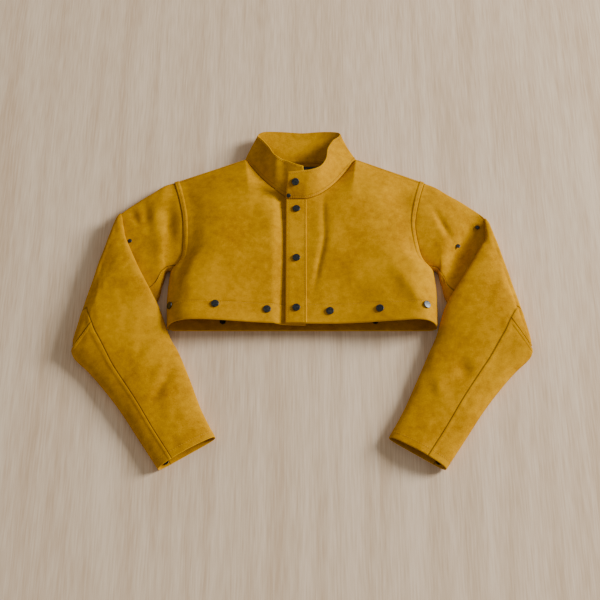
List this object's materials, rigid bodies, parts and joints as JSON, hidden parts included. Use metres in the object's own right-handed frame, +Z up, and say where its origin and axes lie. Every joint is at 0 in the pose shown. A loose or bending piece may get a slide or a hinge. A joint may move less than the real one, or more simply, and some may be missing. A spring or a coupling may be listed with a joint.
{
  "type": "leather welding cape with sleeves",
  "caption": "Cropped split-leather welding cape with long sleeves, stand collar, snapped front and hem snaps for a bib, lying with its sleeves folded.",
  "frame": {"origin": "on the floor, under the middle of the bounding box", "axes": "+Z up from the floor, +Y from the hem towards the collar, +X towards the side whose front laps over the other (the viewer's right)"},
  "size_m": [0.9328, 0.7946, 0.0869],
  "materials": {
    "hide": "split cowhide with a short nap",
    "label": "woven",
    "snap_metal": "dark oxide"
  },
  "bodies": {
    "root": {"back_panel": "hide", "front_left": "hide", "front_right": "hide", "placket_strip": "hide", "collar": "hide", "upper_sleeve_left": "hide", "lower_sleeve_left": "hide", "under_sleeve_left": "hide", "forearm_panel_left": "hide", "upper_sleeve_right": "hide", "lower_sleeve_right": "hide", "under_sleeve_right": "hide", "forearm_panel_right": "hide", "neck_label": "label", "placket_snap_1": "snap_metal", "placket_snap_2": "snap_metal", "placket_snap_3": "snap_metal", "hem_snap_left_1": "snap_metal", "hem_snap_left_2": "snap_metal", "hem_snap_left_3": "snap_metal", "hem_snap_right_1": "snap_metal", "hem_snap_right_2": "snap_metal", "hem_snap_right_3": "snap_metal", "back_hem_snap_1": "snap_metal", "back_hem_snap_2": "snap_metal", "back_hem_snap_3": "snap_metal", "back_hem_snap_4": "snap_metal", "collar_snap": "snap_metal", "collar_stud": "snap_metal", "sleeve_rivet_left": "snap_metal", "sleeve_rivet_right_1": "snap_metal", "sleeve_rivet_right_2": "snap_metal", "cuff_snap_left": "snap_metal", "cuff_snap_right": "snap_metal"}
  },
  "joints": []
}
